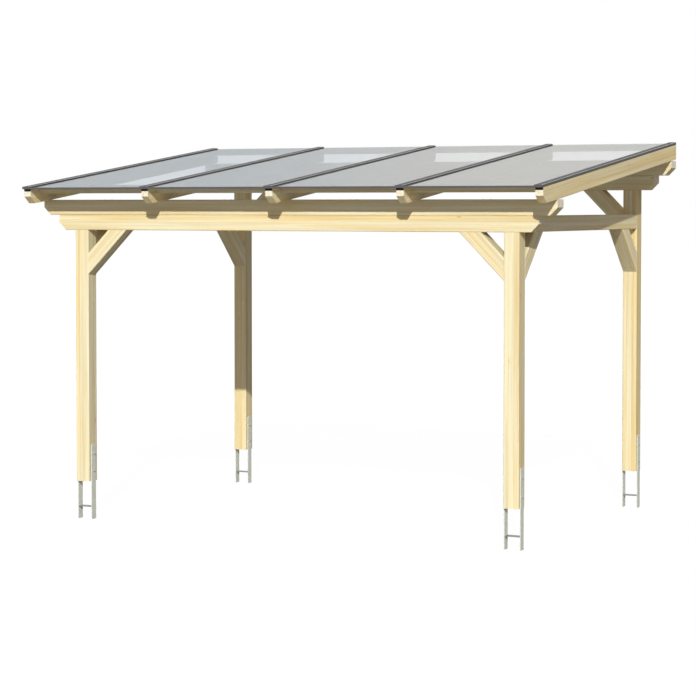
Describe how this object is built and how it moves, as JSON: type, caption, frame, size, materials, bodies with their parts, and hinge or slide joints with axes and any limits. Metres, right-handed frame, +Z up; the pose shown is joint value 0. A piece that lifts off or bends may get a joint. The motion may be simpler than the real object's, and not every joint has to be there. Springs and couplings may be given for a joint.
{
  "type": "attached patio cover",
  "caption": "Timber patio cover with four braced posts on steel anchors and a single-pitch roof of clear sheets on rafters, open at all sides and set against a house wall.",
  "frame": {"origin": "on the ground, midway between the outer rafters and midway between the lower edge of the roof and the wall", "axes": "+X along the house wall to the right as seen from the garden, +Y towards the wall, +Z up"},
  "size_m": [4.4, 3.01, 3.0307],
  "materials": {
    "timber": "planed glued softwood with eased edges",
    "galvanised_steel": "hot-dip galvanised, dull",
    "aluminium": "mill finish, weathered grey",
    "clear_sheet": "clear laminated glass, polished",
    "rubber": "black, matt"
  },
  "bodies": {
    "root": {"cover_strip_1": "aluminium", "cover_strip_2": "aluminium", "cover_strip_3": "aluminium", "cover_strip_4": "aluminium", "cover_strip_5": "aluminium", "eaves_profiles": "aluminium", "front_battens": "timber", "front_beam": "timber", "front_left_anchor": "galvanised_steel", "front_left_brace": "timber", "front_left_post": "timber", "front_purlin": "timber", "front_right_anchor": "galvanised_steel", "front_right_brace": "timber", "front_right_post": "timber", "left_beam": "timber", "left_front_side_brace": "timber", "left_rear_side_brace": "timber", "rafter_1": "timber", "rafter_2": "timber", "rafter_3": "timber", "rafter_4": "timber", "rafter_5": "timber", "rafter_gaskets": "rubber", "rear_battens": "timber", "rear_beam": "timber", "rear_left_anchor": "galvanised_steel", "rear_left_brace": "timber", "rear_left_post": "timber", "rear_purlin": "timber", "rear_right_anchor": "galvanised_steel", "rear_right_brace": "timber", "rear_right_post": "timber", "right_beam": "timber", "right_front_side_brace": "timber", "right_rear_side_brace": "timber", "roof_sheet_1": "clear_sheet", "roof_sheet_2": "clear_sheet", "roof_sheet_3": "clear_sheet", "roof_sheet_4": "clear_sheet", "strip_seals": "rubber"}
  },
  "joints": []
}
